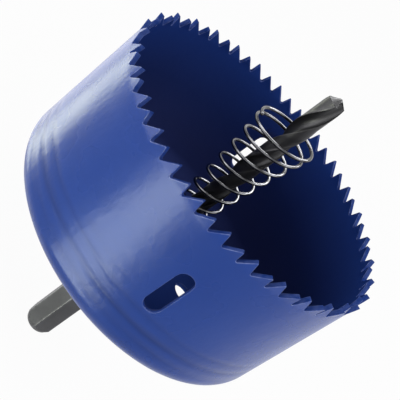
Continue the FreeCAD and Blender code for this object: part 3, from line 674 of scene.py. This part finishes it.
# %% The screw's hole in the collar
SCREW_Z, SCREW_HOLE, HOLE_DEPTH, SCREW_COLUMNS = 41.0, 3.05, 7.6, 7
arbor_keep = np.ones(arbor_grid.shape[:2], bool)
collar_z = arbor_grid[:, 0, 2]
collar_rows = range(collar_first, collar_first + COLLAR_ROWS)
near_rows = [i for i in collar_rows if abs(collar_z[i] - SCREW_Z) < 5.0]
angle_of = np.arctan2(shank_outline[:, 1], shank_outline[:, 0])
centre_column = int(np.argmin(np.abs(angle_of)))
picked = np.arange(centre_column - SCREW_COLUMNS, centre_column + SCREW_COLUMNS + 1)
arbor_keep[near_rows[0]:near_rows[-1], (picked % around)[:-1]] = False
block = np.stack(np.meshgrid(COLLAR * angle_of[picked % around], collar_z[near_rows]), -1)
line = border(block)
away = line - (0, SCREW_Z)
away /= np.linalg.norm(away, axis=1)[:, None]
screw_rings = []
for share, depth in ((0, 0), (0.4, 0), (0.8, 0), (1, 0), (1, 0.25), (1, 4.0), (1, HOLE_DEPTH)):
    hole_line = (0, SCREW_Z) + away * (SCREW_HOLE + (0 if depth else 0.3))
    ring = line + (hole_line - line) * share
    y = COLLAR * np.sin(ring[:, 0] / COLLAR) if share < 1 else ring[:, 0]
    x = np.sqrt(COLLAR ** 2 - y ** 2) - depth if depth < 1 else np.full(len(y), COLLAR - depth)
    screw_rings.append(np.stack([x, y, ring[:, 1]], -1))
screw_rings.append(np.broadcast_to([COLLAR - HOLE_DEPTH, 0, SCREW_Z], screw_rings[0].shape))
screw_edges = np.array([0, 0, 0, 0.8, 0.6, 0, 0, 0])
# The hexagon's corners are paler: worn steel, and partly a painted highlight along them.
worn_and_highlight_corner = np.concatenate([[0.3, 0.6, 0.8, 0.8, 0.8, 0.6, 0.3], np.zeros(9)])
arbor_edge = np.zeros(arbor_grid.shape[:2])
# The rounded rim of the shank's end is paler: a painted highlight.
arbor_edge[[hexagon_first - 3, hexagon_first - 2]] = 0.8
arbor_edge[hexagon_first:hexagon_end] = np.tile(worn_and_highlight_corner, 6)
arbor_edge[[collar_first - 2, collar_first - 1, collar_first + COLLAR_ROWS + 1]] = 0.5
make_piece("saw_arbor", [
    patch(arbor_grid, keep=arbor_keep, edge=arbor_edge),
    patch(np.stack(screw_rings), edge=screw_edges)], "arbor", arbor_steel, even=True)

# %% [markdown]
# The set screw, the split washer and the nut are small, but they are seen when the tool is turned.
# Each is a stack of rings again: a socket is a circle that steps in to a hexagon, and a nut's
# rounded corners are its hexagon held inside a cone.

# %% Set screw
SCREW_TIP, SCREW_LENGTH = 2.595, 7.0
socket = hexagon(3.0, 0.0, 0.12)
socket_round = socket / np.linalg.norm(socket, axis=1)[:, None]
screw_stack = [(CENTRE, 0.0), (socket_round * 1.4, 0.0), (socket_round * 1.6, 0.08),
               (socket_round * 2.6, 0.7)]
screw_stack += [(thread(socket, x, 1.0, 2.98, 0.3), x) for x in np.arange(0.8, SCREW_LENGTH - 0.6, 0.07)]
screw_stack += [(socket_round * r, x) for r, x in (
    (2.75, 6.55), (2.6, 6.75), (2.35, 6.97), (2.25, 7.0), (1.95, 7.0), (1.88, 6.98))]
screw_stack += [(socket, 6.85), (socket, 6.6), (socket, 4.1), (socket * 0.9, 4.0), (CENTRE, 3.6)]
screw_grid = stack_rings(screw_stack)
screw_grid = np.stack([SCREW_TIP + screw_grid[..., 2], screw_grid[..., 0], SCREW_Z + screw_grid[..., 1]], -1)
screw_edge = np.zeros(len(screw_grid))
screw_edge[-9:-4] = 0.6
make_piece("saw_set_screw", [patch(screw_grid, edge=screw_edge)], "set_screw",
           screw_steel, even=True)

# %% Split washer
WASHER_BASE, WASHER_THICK, WASHER_OUT, WASHER_IN, WASHER_GAP = 52.5, 1.2, 10.5, 6.45, 1.6
washer_section = rounded_path(
    [(8.4, 0), (WASHER_OUT, 0), (WASHER_OUT, WASHER_THICK),
     (WASHER_IN, WASHER_THICK), (WASHER_IN, 0), (8.4, 0)], [0.18] * 4, 5)[:-1]
gap = math.asin(WASHER_GAP / 2 / 8.5)
washer_angles = np.linspace(gap, 2 * math.pi - gap, 121)
washer_grid = turn_section(washer_section + (0, WASHER_BASE), washer_angles).transpose(1, 0, 2)
ends = [np.broadcast_to(line.mean(0), (1,) + line.shape) for line in (washer_grid[0], washer_grid[-1])]
washer_grid = np.concatenate([ends[0], washer_grid, ends[1]])
make_piece("saw_washer", [patch(washer_grid, edge=0.25)], "spring_washer",
           zinc_steel, even=True)

# %% Nut
NUT_BASE, NUT_HEIGHT, NUT_FLATS, NUT_CHAMFER = 53.7, 5.0, 19.0, 0.9
nut_outline = hexagon(NUT_FLATS, 0.0, 0.25, per_flat=19)
nut_reach = np.linalg.norm(nut_outline, axis=1)[:, None]
nut_round = nut_outline / nut_reach
nut_stack = [(nut_round * r, z) for r, z in (
    (6.42, 0.35), (6.75, 0.03), (6.85, 0.0), (8.0, 0.0), (9.1, 0.0), (9.35, 0.05))]
nut_stack += [(nut_outline * np.minimum(1, (9.4 + 2.2 * t) / nut_reach), 0.1 + 0.5 * t)
              for t in np.linspace(0, 1, 8)]
nut_stack += [(nut_outline, z) for z in np.linspace(0.9, 3.8, 7)]
nut_stack += [(nut_outline * np.minimum(1, (9.5 + 1.47 * t) / nut_reach), NUT_HEIGHT - NUT_CHAMFER * t)
              for t in np.linspace(1, 0, 12)]
nut_stack += [(nut_round * r, NUT_HEIGHT - z) for r, z in (
    (9.35, 0.0), (8.0, 0.0), (6.9, 0.0), (6.75, 0.04), (6.42, 0.35))]
nut_grid = stack_rings([(line, NUT_BASE + z) for line, z in nut_stack])
make_piece("saw_nut", [patch(nut_grid, wrap_rows=True, edge=0.12)], "arbor_nut",
           zinc_steel, even=True)

# %% [markdown]
# The pilot drill is one section turned as it rises. The section is a circle with two round bites, the
# flutes, and a narrow step behind each cutting edge, the margin, which is all that touches the hole.
# At the point every column stops on a cone, so the flutes open there in the two cutting lips.

# %% Section of the fluted length
DRILL, DRILL_BUTT, DRILL_POINT = 3.175, 33.6, 127.6
LEAD, FLUTE_START, RUN_OUT, WEB = 40.6, 72.6, 9.0, 0.62
FLUTE_RADIUS, FLUTE_TURN, MARGIN, RELIEF = 2.35, math.radians(45), 0.5, 0.16
flute_offset = WEB + FLUTE_RADIUS
cross_x = (DRILL ** 2 - FLUTE_RADIUS ** 2 + flute_offset ** 2) / (2 * flute_offset)
cross_y = math.sqrt(DRILL ** 2 - cross_x ** 2)
land_from = math.atan2(cross_y, cross_x)
flute_to = math.atan2(cross_y, cross_x - flute_offset)
sweep = np.linspace(2 * math.pi - flute_to, flute_to, 21)
flute_line = np.stack([flute_offset + FLUTE_RADIUS * np.cos(sweep), FLUTE_RADIUS * np.sin(sweep)], 1)[1:-1]
land_angles = np.concatenate([
    land_from + np.array([0.0, 0.03, 0.08]),
    np.linspace(land_from + 0.2, math.pi - land_from - MARGIN / DRILL - 0.09, 9),
    math.pi - land_from - np.array([MARGIN / DRILL + 0.03, MARGIN / DRILL, MARGIN / DRILL * 0.5, 0.03, 0.0])])
land_radius = DRILL - RELIEF * np.ones(len(land_angles))
land_radius[:3] = DRILL - RELIEF + np.array([-0.06, 0.0, 0.0])
land_radius[-5:] = DRILL + np.array([-0.02, 0.0, 0.0, 0.0, -0.03])
land_line = np.stack([land_radius * np.cos(land_angles), land_radius * np.sin(land_angles)], 1)
half_section = np.concatenate([flute_line, land_line])
section = np.concatenate([half_section, -half_section])
section_reach = np.linalg.norm(section, axis=1)
on_margin = np.tile(np.concatenate([np.zeros(len(flute_line)), land_radius > DRILL - 0.05]), 2)
print("drill section:", len(section), "points")

# %% The drill, from its butt to its point
def drill_ring(z):
    """The section turned by 360 degrees in each lead, its flutes rising out of the round shank.
    Inside the run out, no point is nearer to the axis than a cone that narrows along it."""
    turn = (z - FLUTE_START) / LEAD * 2 * math.pi + FLUTE_TURN
    narrow = DRILL - (DRILL - WEB) * np.sqrt(np.clip((z - FLUTE_START) / RUN_OUT, 0, 1))
    x, y = (section * (np.maximum(section_reach, narrow) / section_reach)[:, None]).T
    c, s = np.cos(turn), np.sin(turn)
    return np.stack([x * c - y * s, x * s + y * c, np.broadcast_to(z, len(section))], -1)


def round_ring(radius, z):
    """A level circle in the directions of the section's points."""
    circle_line = section / section_reach[:, None] * radius
    return np.concatenate([circle_line, np.full((len(section), 1), z)], 1)


POINT_SLOPE = math.tan(math.radians(118 / 2))
column_end = DRILL_POINT - section_reach / POINT_SLOPE
shoulder = DRILL_POINT - DRILL / POINT_SLOPE
SHOULDER_ROWS, MARGIN_ROWS, LEVEL_BELOW = 8, 140, 0.4
drill_rows = [round_ring(r, DRILL_BUTT + z) for r, z in (
    (0.0, 0.0), (1.5, 0.0), (2.5, 0.0), (DRILL - 0.03, 0.57), (DRILL, 0.65))]
drill_rows += [round_ring(DRILL, z) for z in np.linspace(DRILL_BUTT + 3.4, FLUTE_START - 0.3, 16)]
drill_rows += [drill_ring(z) for z in np.linspace(FLUTE_START, FLUTE_START + RUN_OUT, 46)]
level = shoulder - LEVEL_BELOW
drill_rows += [drill_ring(z) for z in np.linspace(FLUTE_START + RUN_OUT, level, 150)[1:]]
shoulder_first = len(drill_rows)
shares = np.linspace(0, 1, SHOULDER_ROWS + 1)[1:]
drill_rows += [drill_ring(level + (column_end - level) * share) for share in shares]
print("drill:", len(drill_rows), "rows up to the shoulder")

# %% The drill's point, and the flat that its screw presses on
last = drill_rows[-1]
for share in (0.97, 0.85, 0.7, 0.55, 0.4, 0.25, 0.1):
    xy = last[:, :2] * share
    z = DRILL_POINT - np.linalg.norm(xy, axis=1) / POINT_SLOPE
    drill_rows.append(np.concatenate([xy, z[:, None]], 1))
drill_rows.append(np.broadcast_to([0, 0, DRILL_POINT], last.shape))
drill_grid = np.stack(drill_rows)
point_first = shoulder_first + SHOULDER_ROWS
drill_edge = np.zeros(drill_grid.shape[:2])
# The margins are paler: worn bare steel, and a painted highlight along the flute edges.
drill_edge[shoulder_first - MARGIN_ROWS:point_first] = on_margin * 0.35
drill_edge[point_first] = 0.5
FLAT_DEPTH, FLAT_HALF = 0.6, 5.0
at_flat = np.abs(drill_grid[..., 2] - SCREW_Z) < FLAT_HALF
drill_grid[at_flat, 0] = np.minimum(drill_grid[at_flat, 0], DRILL - FLAT_DEPTH)
make_piece("saw_drill", [patch(drill_grid, edge=drill_edge)], "pilot_drill", drill_steel)

# %% [markdown]
# The ejector spring is round wire carried along a conical coil. Its line is three curves of the turn
# angle: how far out it is, how high, and how much the coils stand up on one side. The tube round it
# is a ring of points in the plane across the line, so its frame follows the line without twisting.

# %% The spring's line
WIRE = 0.49
SEAT_TURNS, OPEN_TURNS, FRONT_TURNS, SPRING_END = 1.0, 8.24, 1.08, 210.0
SEAT_RADIUS, WAIST_HEIGHT, WAIST_RADIUS, FRONT_RADIUS = 3.98, 36.0, 7.65, 9.47
TURNS = SEAT_TURNS + OPEN_TURNS + FRONT_TURNS
turn = np.linspace(0, TURNS, 900)
pitch = np.interp(turn, [0.75, 1.25, 8.99, 9.49], [1.0, 6.0, 5.36, 1.9])
climbed = np.concatenate([[0], np.cumsum((pitch[1:] + pitch[:-1]) / 2 * turn[1])])
top = climbed[-1]
reach = np.interp(climbed, [0, WAIST_HEIGHT, top - 1.9 * FRONT_TURNS, top],
                  [SEAT_RADIUS, WAIST_RADIUS, FRONT_RADIUS, FRONT_RADIUS])
tilt = np.interp(turn, [SEAT_TURNS, 4.0], [0.0, 1.5])
angle = np.radians(SPRING_END - 360 * (TURNS - turn))
spring_line = np.stack([
    reach * np.cos(angle) - 1.4 * climbed / top,
    reach * np.sin(angle),
    NOSE + WIRE + climbed + tilt * np.cos(angle)], 1)
print("spring: turns", TURNS, "height", round(top, 2), "mm")

# %% The wire round it
along = np.gradient(spring_line, axis=0)
along /= np.linalg.norm(along, axis=1)[:, None]
outward = np.stack([np.cos(angle), np.sin(angle), np.zeros(len(angle))], 1)
outward -= along * (outward * along).sum(1)[:, None]
outward /= np.linalg.norm(outward, axis=1)[:, None]
upward = np.cross(along, outward)
around_wire = np.linspace(0, 2 * math.pi, 20, endpoint=False)
ring_shape = np.cos(around_wire)[:, None, None] * outward + np.sin(around_wire)[:, None, None] * upward
tube = (spring_line + WIRE * ring_shape).transpose(1, 0, 2)
tip_rings = []
for index, sign in ((0, -1), (-1, 1)):
    for share, out in ((0.75, 0.06), (0.5, 0.08), (0.0, 0.08)):
        tip_rings.append(spring_line[index] + along[index] * sign * out + ring_shape[:, index] * WIRE * share)
tube = np.concatenate([np.stack(tip_rings[2::-1]), tube, np.stack(tip_rings[3:])])
make_piece("saw_spring", [patch(tube)], "ejector_spring", spring_steel)

# %% [markdown]
# The tool stands on its shank on a pale floor, in an even white room. The floor takes shadows but
# throws none, and reflections pass through it, so that lamps below its level show in the paint.

# %% Floor and room
def plain_sheet(name, half_width, half_height):
    """A flat rectangle round the origin, and its mesh."""
    mesh = bpy.data.meshes.new(name)
    corners = [(x * half_width, y * half_height, 0.0) for x, y in ((-1, -1), (1, -1), (1, 1), (-1, 1))]
    mesh.from_pydata(corners, [], [(0, 1, 2, 3)])
    sheet = bpy.data.objects.new(name, mesh)
    bpy.context.scene.collection.objects.link(sheet)
    return sheet, mesh


def white_when_seen(tree, output, dim, share):
    """Mixes a plain shader with white light that only camera, glossy and transmission rays meet."""
    rays = tree.nodes.new("ShaderNodeLightPath")
    seen = maths(tree, "MAXIMUM", rays.outputs["Is Camera Ray"], rays.outputs["Is Glossy Ray"])
    seen = maths(tree, "MAXIMUM", seen, rays.outputs["Is Transmission Ray"])
    white = tree.nodes.new("ShaderNodeBackground" if output.type == "OUTPUT_WORLD" else "ShaderNodeEmission")
    white.inputs["Color"].default_value = (1.0, 1.0, 1.0, 1.0)
    white.inputs["Strength"].default_value = 1.0
    mixed = tree.nodes.new("ShaderNodeMixShader")
    tree.links.new(times(tree, seen, share), mixed.inputs[0])
    tree.links.new(dim, mixed.inputs[1])
    tree.links.new(white.outputs[0], mixed.inputs[2])
    tree.links.new(mixed.outputs[0], output.inputs["Surface"])


floor, floor_mesh = plain_sheet("floor", 3.0, 3.0)
floor_mesh.transform(Matrix.Translation((0, 0, -0.2 * MM)))
floor_paint, tree, shader = new_material("floor_paint")
shader.inputs["Base Color"].default_value = (0.86, 0.86, 0.86, 1.0)
shader.inputs["Roughness"].default_value = 0.9
shader.inputs["Specular IOR Level"].default_value = 0.0
white_when_seen(tree, tree.nodes["Material Output"], shader.outputs[0], 0.955)
floor_mesh.materials.append(floor_paint)
floor.visible_glossy = False
floor.visible_shadow = False

world = bpy.data.worlds.new("room")
world.use_nodes = True
bpy.context.scene.world = world
tree = world.node_tree
room = tree.nodes["Background"]
room.inputs["Color"].default_value = (1, 1, 1, 1)
room.inputs["Strength"].default_value = 0.38
white_when_seen(tree, tree.nodes["World Output"], room.outputs[0], 1.0)
print("floor and room ready")

# %% [markdown]
# The cup's wall is upright and the camera looks down on it, so each reflection in it comes from below
# the level of the tool. The long boxes for its bright bands stand there. Others stand higher, for the
# coils and the drill, and three wide ones light the colours. All the rest are for the gloss alone.

# %% Soft boxes
AIM = np.array([0.0, 0.0, 0.079])


def facing(azimuth, elevation, distance):
    """The matrix of something that stands in a direction from the cup and faces it along its own -Z."""
    a, e = math.radians(azimuth), math.radians(elevation)
    direction = np.array([math.cos(e) * math.cos(a), math.cos(e) * math.sin(a), math.sin(e)])
    sideways = np.array([-math.sin(a), math.cos(a), 0.0])
    place = (AIM + direction * distance).tolist()
    turned = np.stack([sideways, np.cross(direction, sideways), direction], 1).tolist()
    return Matrix([(*row, at) for row, at in zip(turned, place)] + [(0, 0, 0, 1)])


def soft_box(name, azimuth, elevation, distance, width, height, brightness, sheen_only=False,
             colour=(1, 1, 1)):
    """An area lamp that faces the cup. Its power is brightness x pi x area. A sheen-only box shows in
    the gloss and puts no light on the colours."""
    lamp = bpy.data.lights.new(name, "AREA")
    lamp.shape = "RECTANGLE"
    lamp.size, lamp.size_y = width, height
    lamp.energy = brightness * math.pi * width * height
    lamp.color = colour
    box = bpy.data.objects.new(name, lamp)
    box.matrix_world = facing(azimuth, elevation, distance)
    box.visible_camera = False
    box.visible_diffuse = not sheen_only
    bpy.context.scene.collection.objects.link(box)


# Azimuth and elevation in degrees; distance, width and height in metres; brightness.
DAYLIGHT_TUBE = (0.95, 1.0, 0.82)
soft_box("main_sheen", -106, -25, 0.60, 0.27, 0.42, 9.3, True, DAYLIGHT_TUBE)
soft_box("back_sheen", 158, -23, 0.60, 0.20, 0.42, 5.3, True, DAYLIGHT_TUBE)
soft_box("side_sheen", 128, -28, 0.70, 0.26, 0.30, 1.0, True)
soft_box("right_sheen", 20, -28, 0.70, 0.36, 0.30, 0.2, True)
soft_box("camera_sheen", -91, 27, 0.60, 0.44, 0.30, 3.0, True)
soft_box("top_sheen", 90, 50, 0.60, 0.56, 0.30, 15.0, True)
soft_box("low_sheen", -89, -37, 0.60, 0.16, 0.09, 8.5, True, DAYLIGHT_TUBE)
soft_box("coil_left_sheen", 172, 42, 0.60, 0.36, 0.24, 9.0, True)
soft_box("coil_right_sheen", 8, 42, 0.60, 0.30, 0.22, 7.0, True)
soft_box("left_box", -142, 0, 1.00, 1.20, 0.60, 3.8)
soft_box("right_box", -5, 0, 1.00, 1.20, 0.60, 1.1)
soft_box("high_box", -10, 48, 1.00, 0.80, 0.60, 2.6)
print("soft boxes ready")

# %% [markdown]
# The gloss of the cup's far side would mirror the white room, and its outline would be lost against
# the white floor. A grey card stands where that gloss looks. Nothing but reflections meets it.

# %% Grey card
card, card_mesh = plain_sheet("grey_card", 0.26, 0.25)
card_mesh.transform(facing(97, -30, 0.75))
card_grey, tree, shader = new_material("card_grey")
shader.inputs["Base Color"].default_value = (0.0, 0.0, 0.0, 1.0)
shader.inputs["Specular IOR Level"].default_value = 0.0
shader.inputs["Emission Color"].default_value = (0.36, 0.35, 0.39, 1.0)
shader.inputs["Emission Strength"].default_value = 1.0
card_mesh.materials.append(card_grey)
card.visible_camera = card.visible_diffuse = card.visible_shadow = card.visible_transmission = False
print("card ready")

# %% [markdown]
# The camera stands where the photograph's camera stood. Its place and angle were worked out from the
# ellipses of the rim and from the line of the shank, so the picture is tilted and the tool is not.

# %% Camera
camera_data = bpy.data.cameras.new("camera")
camera_data.lens = 80.18
camera_data.sensor_width = 36.0
camera = bpy.data.objects.new("camera", camera_data)
camera.matrix_world = Matrix([
    (0.589, -0.808, 0.0, -0.72 * MM),
    (0.366, 0.267, -0.8916, -232.8 * MM),
    (0.7205, 0.5252, 0.4529, 193.7 * MM),
    (0, 0, 0, 1)])
bpy.context.scene.collection.objects.link(camera)
bpy.context.scene.camera = camera
bpy.context.scene.view_settings.view_transform = "Standard"
print("camera ready")
